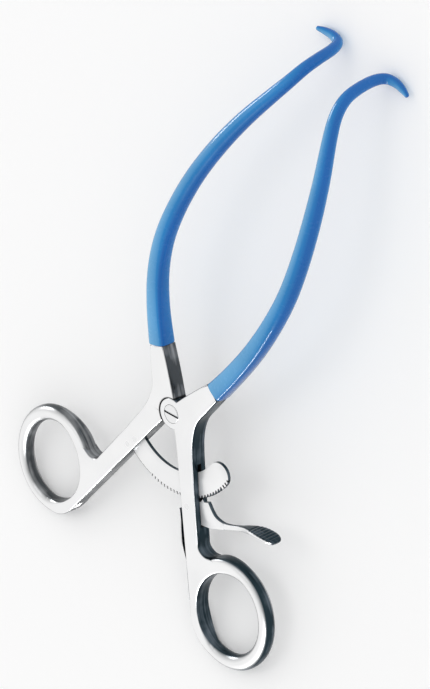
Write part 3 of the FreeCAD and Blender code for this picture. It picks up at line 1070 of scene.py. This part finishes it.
@dataclass
class RatchetBar:
    """Curved bar with saw teeth on its outer edge."""

    thick: float = 1.1
    inner: float = 18.3
    tips: float = 26.0
    step: float = 0.45        # how far the plain edge lies below the tips
    depth: float = 0.85
    pitch: float = 3.0        # degrees from tooth to tooth, as the next angles are
    lean: float = 0.62
    land: float = 0.25
    first: float = -6.0
    lead: float = 1.0         # where the plain edge ends before the first tooth
    rest: float = 42.0
    end: float = 78.5
    root: float = -33.0
    broken: float = 0.10
    edge_step: float = 1.5    # degrees from a point of the plain edge to the next
    inner_step: float = 2.0
    nose_points: int = 13

    def outline(self) -> list[Pair]:
        """Corners of the bar, from its root along the teeth and back along the inner edge.

        Returns:
            The corners in order.
        """
        middle = (self.inner + self.tips) / 2.0
        nose = (self.tips - self.inner) / 2.0
        stop = self.end - math.degrees(nose / middle)
        points = arc(self.tips - self.step, self.root, self.first - self.lead, self.edge_step)
        foot = self.first + (self.rest - self.first) % self.pitch
        while foot + self.pitch < stop:
            points.append(polar(self.tips - self.depth, foot))
            points.append(polar(self.tips, foot + self.lean))
            points.append(polar(self.tips, foot + self.lean + self.land))
            foot += self.pitch
        centre = Vector(polar(middle, stop))
        start = math.radians(stop) - math.pi / 2.0
        for i in range(self.nose_points):
            a = start + math.pi * i / (self.nose_points - 1)
            points.append((centre.x + nose * math.cos(a), centre.y + nose * math.sin(a)))
        return points + arc(self.inner, stop - self.inner_step, self.root, self.inner_step)

    def build(self, plane: Plane) -> Piece:
        """Cut the plate, break its edges and lay it on the table.

        Args:
            plane: the plane of the joint.

        Returns:
            The bar.
        """
        obj = outline_plate("toothed_bar", self.outline(), self.thick)
        break_edges(obj, self.broken, SHARP)
        lay(obj, plane)
        return obj

    def dress(self, obj: Piece, steel: bpy.types.Material) -> None:
        """Finish the bar, which rides in the left half and stands for its node."""
        give_finish(obj, steel)
        settle(obj, "left_half", "ratchet_bar")


@dataclass
class Screw:
    """A slotted screw head with a crowned top."""

    name: str
    body: str
    node: str
    radius: float
    height: float
    slot_width: float
    slot_depth: float
    slot_degrees: float
    crown: float = 0.2
    around: int = 64
    broken: float = 0.05
    # how far each ring of the crown steps in, of the one before, and its share of the rise
    rings: tuple[Pair, ...] = ((0.01, 0.35), (0.04, 0.35), (0.14, 0.2), (0.275, 0.1))

    def build(self, place: Matrix) -> Piece:
        """Turn the head, cut its slot and break its edges.

        Args:
            place: from millimetres with the head's seat at the origin to metres on the table.

        Returns:
            The head.
        """
        deselect()
        bpy.ops.mesh.primitive_circle_add(vertices=self.around, radius=self.radius, fill_type="NGON")
        obj = bpy.context.object
        obj.name = self.name
        enter_edit()
        pull_up(self.height - self.crown)
        for inward, share in self.rings:
            pull_up(self.crown * share)
            wide = 1.0 - inward
            bpy.ops.transform.resize(value=(wide, wide, 1.0), center_override=(0.0, 0.0, 0.0))
        leave_edit()
        cut(obj, self.cutter())
        break_edges(obj, self.broken, SHARP_SMALL)
        obj.data.transform(place)
        return obj

    def cutter(self) -> Piece:
        """The bar that cuts the slot: longer than the head, with its lower half in it.

        Returns:
            The bar, in millimetres from the head's seat.
        """
        deselect()
        bpy.ops.mesh.primitive_cube_add(size=1.0)
        bar = bpy.context.object
        bar.data.transform(Matrix.Diagonal((self.radius * 3.0, self.slot_width, self.slot_depth * 2.0, 1.0)))
        bar.data.transform(Matrix.Rotation(math.radians(self.slot_degrees), 4, "Z"))
        bar.data.transform(Matrix.Translation((0.0, 0.0, self.height)))
        return bar

    def dress(self, obj: Piece, steel: bpy.types.Material) -> None:
        """Finish the head, which stands for its node."""
        give_finish(obj, steel)
        settle(obj, self.body, self.node)


@dataclass
class ReleaseLever:
    """Pawl blade on its pin, with an arm that widens into a grooved thumb pad."""

    bar: RatchetBar = field(default_factory=RatchetBar)
    pin_radius: float = 27.85
    pin_degrees: float = 31.0
    thick: float = 1.2
    broken: float = 0.10
    seat: float = 9.5             # degrees that the lever turns back to seat its nose
    clear: float = 0.07           # room left between the seated nose and the teeth
    nose_high: float = 0.28
    nose_ahead: float = 4.2       # degrees of the bar that the nose reaches before and past the notch
    nose_behind: float = 7.0
    blunt: float = 0.25
    bore: float = 0.95
    drill: float = 4.0            # length of the drill for the bore
    drill_around: int = 48
    # the blade's rim from the pin: along the top, along the belly, round the heel
    shoulder: tuple[Pair, ...] = ((6.15, 4.25), (8.6, 2.55), (10.65, 2.15), (13.0, 2.5))
    belly: tuple[Pair, ...] = ((13.6, 0.75), (11.3, -0.7), (8.4, -2.5), (5.7, -3.6))
    heel: tuple[Pair, ...] = (
        (0.0, -4.9), (-1.0, -5.5), (-1.75, -5.1), (-1.8, -4.2), (-1.5, -2.9), (-1.7, -1.1))
    shoulder_steps: int = 5
    rim_steps: int = 4
    # the arm and pad: x, top, underside, width
    arm: Stations = (
        (12.2, 2.3, -0.1, 1.2), (15.5, 3.95, 2.15, 1.2), (18.6, 6.0, 4.15, 1.5), (21.05, 7.65, 5.75, 2.9),
        (24.3, 9.25, 7.75, 5.3), (27.5, 10.15, 8.95, 6.0), (30.2, 10.65, 9.5, 5.5), (31.9, 10.78, 9.75, 3.6),
        (32.35, 10.7, 9.9, 1.8))
    steps: int = 12
    around: int = 16
    levels: int = 1
    square: float = 5.0
    end_square: float = 3.4
    grooves: int = 7
    groove_from: float = 23.6
    groove_pitch: float = 1.15
    groove_deep: float = 0.22
    groove_soft: float = 0.7

    @property
    def pin(self) -> Vector:
        """Place of the pin in the plane of the joint."""
        return Vector(polar(self.pin_radius, self.pin_degrees))

    def nose(self) -> list[Pair]:
        """The pawl's nose, lifted clear of the teeth.

        Returns:
            Its corners from its front to its back.
        """
        bar = self.bar
        foot = bar.tips - bar.depth + self.clear
        slope = bar.depth / (bar.pitch - bar.lean - bar.land)
        face = bar.tips + self.nose_high
        point_degrees = bar.rest - self.blunt
        point_radius = foot + self.blunt * slope
        seated = [
            polar(face, bar.rest + self.nose_ahead),
            polar(face, point_degrees + (face - point_radius) * bar.lean / bar.depth),
            polar(point_radius, point_degrees),
            polar(face, bar.rest - (face - foot) / slope),
            polar(face + self.clear, bar.rest - self.nose_behind),
        ]
        turn = Matrix.Rotation(-math.radians(self.seat), 2)
        return [tuple(self.pin + turn @ (Vector(p) - self.pin)) for p in seated]

    def blade(self, plane: Plane) -> Piece:
        """The flat blade with the nose, the bore and the heel.

        Args:
            plane: the plane of the joint.

        Returns:
            The blade, on the table.
        """
        nose = self.nose()
        shoulder = curve((Vector(nose[0]) - self.pin, *self.shoulder), self.shoulder_steps)
        rim = shoulder[1:] + curve(self.belly, self.rim_steps) + curve(self.heel, self.rim_steps)
        outline = [tuple(self.pin + p.xy) for p in rim] + [*reversed(nose)]
        obj = outline_plate("pawl_blade", outline, self.thick)
        deselect()
        bpy.ops.mesh.primitive_cylinder_add(vertices=self.drill_around, radius=self.bore, depth=self.drill,
                                            location=(*self.pin, 0.0))
        cut(obj, bpy.context.object)
        break_edges(obj, self.broken, SHARP_SMALL)
        lay(obj, plane)
        return obj

    def groove(self, x: float) -> float:
        """How deep the grooves are at a place along the pad.

        Args:
            x: the place's distance from the pin.

        Returns:
            The depth.
        """
        turns = (x - self.groove_from) / self.groove_pitch
        if not -0.5 <= turns <= self.grooves - 0.5:
            return 0.0
        return self.groove_deep * max(0.0, math.cos(2.0 * math.pi * turns)) ** self.groove_soft

    def pad(self, plane: Plane) -> Piece:
        """The arm that grows out of the blade and widens into the thumb pad.

        Args:
            plane: the plane of the joint.

        Returns:
            The arm with its pad, on the table.
        """
        tops = catmull([Vector((x, top, wide)) for x, top, _, wide in self.arm], self.steps)
        lows = catmull([Vector((x, low, wide)) for x, _, low, wide in self.arm], self.steps)
        parts = []
        for i, (high, low) in enumerate(zip(tops, lows)):
            ahead = heading(tops, i)
            up = Vector((-ahead.y, ahead.x, 0.0)).normalized()
            middle = (high + low) / 2.0
            thick = (high - low).xy.length * up.y
            centre = Vector((self.pin.x + middle.x, self.pin.y + middle.y, 0.0))
            square = self.square if i < len(tops) - self.steps else self.end_square
            parts.append(Section(centre, OUT, up, high.z, thick, square, self.groove(high.x)))
        obj = loft("thumb_pad", parts, self.around, self.levels)
        lay(obj, plane)
        return obj

    def dress(self, obj: Piece, steel: bpy.types.Material) -> None:
        """Finish a piece of the lever, which stands for its node with the other."""
        give_finish(obj, steel)
        settle(obj, "release_lever", "release_lever")


@dataclass
class LeafSpring:
    """Flat leaf screwed to the inner edge of the right shank."""

    edge_start: Pair = (4.75, -8.5)
    edge_end: Pair = (26.0, -55.15)
    thick: float = 0.5
    wide: float = 3.6
    foot_wide: float = 4.7
    narrow: float = 4.0       # length of its narrow end
    widening: float = 6.0     # length over which it widens from there to its foot
    stand: float = 1.4
    start: float = -40.6
    end: float = -26.47
    foot: float = 11.5
    foot_parts: tuple[float, ...] = (1.0, 0.66, 0.33)
    lift: float = 0.1         # the foot's free edge stands this far off the shank
    screw: float = -43.0
    broken: float = 0.08
    # along the bowed part: share of its length, share of its stand
    bow: tuple[Pair, ...] = ((0.0, 0.0), (0.28, 0.72), (0.56, 0.98), (0.8, 1.0), (1.0, 1.05))
    bow_steps: int = 6

    @property
    def run(self) -> Vector:
        """Direction of the shank's inner edge."""
        return (Vector(self.edge_end) - Vector(self.edge_start)).normalized()

    @property
    def off(self) -> Vector:
        """Direction away from the shank."""
        return Vector((self.run.y, -self.run.x, 0.0))

    def along(self, y: float, stand: float) -> Vector:
        """A point standing off the shank's inner edge.

        Args:
            y: where along the edge it is.
            stand: how far off it stands.

        Returns:
            The point, in the plane of the joint.
        """
        foot = Vector(self.edge_start)
        point = foot + self.run * ((y - foot.y) / self.run.y) + self.off.xy * stand
        return Vector((*point, 0.0))

    def build(self, plane: Plane) -> Piece:
        """Bend the strip, break its edges and lay it on the table.

        Args:
            plane: the plane of the joint.

        Returns:
            The leaf.
        """
        span = self.end - self.start
        bowed = catmull([self.along(self.start + span * part, self.stand * s) for part, s in self.bow],
                        self.bow_steps)
        under = [self.along(self.start - self.foot * part, self.lift) for part in self.foot_parts] + bowed
        off = self.off * self.thick
        outline = [tuple(p.xy) for p in under] + [tuple((p + off).xy) for p in reversed(under)]
        obj = outline_plate("leaf", outline, self.wide)
        for vertex in obj.data.vertices:
            wider = min(1.0, max(0.0, (self.end - self.narrow - vertex.co.y) / self.widening))
            vertex.co.z *= 1.0 + (self.foot_wide / self.wide - 1.0) * wider
        break_edges(obj, self.broken, SHARP)
        lay(obj, plane)
        return obj

    def dress(self, obj: Piece, steel: bpy.types.Material, plane: Plane) -> None:
        """Finish the leaf, hide the frame's spring and bake the leaf's place into its mesh.

        Args:
            obj: the leaf.
            steel: its finish.
            plane: the plane of the joint.
        """
        give_finish(obj, steel)
        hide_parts("lever_spring")
        tuple(plane.matrix @ self.along(self.start, 0.0))
        tuple(plane.matrix @ self.along(self.end, self.stand))
        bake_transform(obj)
        LOG.info("%s bends from right_half to release_lever and stands for lever_spring", obj.name)

    def screw_place(self, plane: Plane) -> Matrix:
        """Place of the leaf's screw.

        Args:
            plane: the plane of the joint.

        Returns:
            From the head's own millimetres to its seat on the leaf.
        """
        turn = Matrix((OUT, self.off.cross(OUT), self.off)).transposed().to_4x4()
        turn.translation = self.along(self.screw, self.thick)
        return plane.matrix @ turn


# Studio


@dataclass(frozen=True)
class Lamp:
    """A soft rectangular lamp that looks at the object. Places and sizes are in metres."""

    name: str
    place: Triple
    size: Pair
    radiance: float                   # 1 is a white surface in full light
    along: Triple = (1.0, 0.0, 0.0)   # the direction that its width runs in
    lights: bool = True               # whether it lights surfaces, or only shows in glossy ones

    def hang(self) -> None:
        """Hang the lamp in its place."""
        data = bpy.data.lights.new(self.name, "AREA")
        data.shape = "RECTANGLE"
        data.size, data.size_y = self.size
        data.energy = self.radiance * math.pi * self.size[0] * self.size[1]
        obj = bpy.data.objects.new(self.name, data)
        bpy.context.scene.collection.objects.link(obj)
        back = Vector(self.place).normalized()
        along = Vector(self.along)
        wide = (along - back * back.dot(along)).normalized()
        turn = Matrix((wide, back.cross(wide), back)).transposed().to_4x4()
        obj.matrix_world = Matrix.Translation(self.place) @ turn
        obj.visible_diffuse = self.lights


@dataclass
class Studio:
    """Pale floor, soft light and the photograph's viewpoint. Its own sizes are in metres."""

    plane: Plane
    unit: float = 0.285               # millimetres to a pixel of the photograph at the pivot
    focal: float = 3700.0             # focal, pivot and size are in pixels of the photograph
    pivot: Pair = (177.735, 411.461)
    size: Pair = (430.0, 689.0)
    # the photograph's axes, as directions in the plane of the joint
    right: Triple = (0.66298697, 0.21389232, -0.71742481)
    down: Triple = (0.56782344, -0.76820201, 0.2957063)
    ahead: Triple = (-0.48787787, -0.60342005, -0.63076099)
    sensor: float = 36.0              # millimetres
    clip: Pair = (0.05, 20.0)
    floor_size: float = 6.0
    floor_drop: float = 0.0003
    floor_tone: float = 0.975
    room: float = 0.93                # how bright the even pale room is, where 1 is white
    lamps: tuple[Lamp, ...] = (
        Lamp("key", (-0.59, -0.87, 0.59), (0.9, 0.9), 0.03),
        Lamp("strip", (0.29, -0.82, 0.50), (0.9, 0.07), 60.0, (0.54, 0.55, 0.63), False),
        Lamp("side", (-0.95, 0.06, 0.28), (0.3, 0.3), 12.0, (0.0, 1.0, 0.0), False),
        Lamp("top", (-0.25, 0.1, 1.0), (0.45, 0.45), 1.0))

    def camera(self) -> None:
        """Stand the camera where the photograph was taken from."""
        right, down, ahead = Vector(self.right), Vector(self.down), Vector(self.ahead)
        over = (self.size[0] / 2.0 - self.pivot[0]) / self.focal
        below = (self.size[1] / 2.0 - self.pivot[1]) / self.focal
        aim = (ahead + right * over + down * below).normalized()
        side = (right - aim * right.dot(aim)).normalized()
        stand = Matrix((side, side.cross(aim), -aim)).transposed().to_4x4()
        stand.translation = -ahead * self.focal * self.unit * MM
        data = bpy.data.cameras.new("camera")
        data.sensor_width = self.sensor
        data.lens = self.sensor * self.focal / self.size[1]
        data.clip_start, data.clip_end = self.clip
        obj = bpy.data.objects.new("camera", data)
        bpy.context.scene.collection.objects.link(obj)
        obj.matrix_world = self.plane.matrix @ Matrix.Scale(1.0 / MM, 4) @ stand
        bpy.context.scene.camera = obj

    def floor(self) -> None:
        """A pale floor that keeps the object's shadow."""
        deselect()
        bpy.ops.mesh.primitive_plane_add(size=self.floor_size, location=(0.0, 0.0, -self.floor_drop))
        obj = bpy.context.object
        obj.name = "floor"
        pen = Nodes("pale_floor")
        pen.fix("Base Color", (self.floor_tone, self.floor_tone, self.floor_tone, 1.0))
        pen.fix("Roughness", 1.0)
        pen.fix("Specular IOR Level", 0.0)
        obj.data.materials.append(pen.material)

    def world(self) -> None:
        """An even pale room."""
        world = bpy.data.worlds.new("studio")
        bpy.context.scene.world = world
        world.use_nodes = True
        back = world.node_tree.nodes["Background"]
        back.inputs["Color"].default_value = (1.0, 1.0, 1.0, 1.0)
        back.inputs["Strength"].default_value = self.room

    def build(self) -> None:
        """Set up everything round the object."""
        self.camera()
        self.floor()
        self.world()
        for lamp in self.lamps:
            lamp.hang()
        bpy.context.scene.view_settings.view_transform = "Standard"
        LOG.info("camera, floor, room and %d lamps stand", len(self.lamps))


def main() -> None:
    """Build the retractor's pieces in order and dress them."""
    logging.basicConfig(level=logging.INFO, format="%(name)s: %(message)s")
    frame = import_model()
    plane = Plane.of_frame(frame)
    bar = RatchetBar()
    blue = DipCoating().make()
    lever_steel = SatinSteel(name="lever_steel").make(plane)
    bright = SatinSteel(name="screw_steel", rough=(0.22, 0.24), flat=(0.84, 0.845, 0.85)).make(plane)

    for name in ("bar_rivet_upper", "bar_rivet_lower", "lever_pin"):
        give_finish(frame["nodes"][name], bright)
        LOG.info("%s keeps its own mesh", name)
    for side in Side:
        steel = SatinSteel.of_half(side).make(plane)
        forging = Forging(side)
        forging.dress(forging.build(frame, plane), steel)
        root = RingRoot(side)
        root.dress(root.build(plane), steel)
        arm = CoatedArm(side)
        arm.dress(arm.build(plane), blue)

    bar.dress(bar.build(plane), SatinSteel.of_bar(bar).make(plane))

    head = Screw("joint_screw_head", "left_half", "pivot_screw", radius=2.83, height=1.42,
                 slot_width=0.62, slot_depth=0.6, slot_degrees=13.0)
    seat = 1.30
    head.dress(head.build(plane.matrix @ Matrix.Translation((0.0, 0.0, seat))), bright)

    lever = ReleaseLever(bar)
    for piece in (lever.blade(plane), lever.pad(plane)):
        lever.dress(piece, lever_steel)

    leaf = LeafSpring()
    leaf.dress(leaf.build(plane), lever_steel, plane)
    small = Screw("leaf_screw_head", "right_half", "spring_screw", radius=1.5, height=0.7,
                  slot_width=0.5, slot_depth=0.35, slot_degrees=35.0)
    small.dress(small.build(leaf.screw_place(plane)), bright)

    Studio(plane).build()


if __name__ == "__main__":
    main()
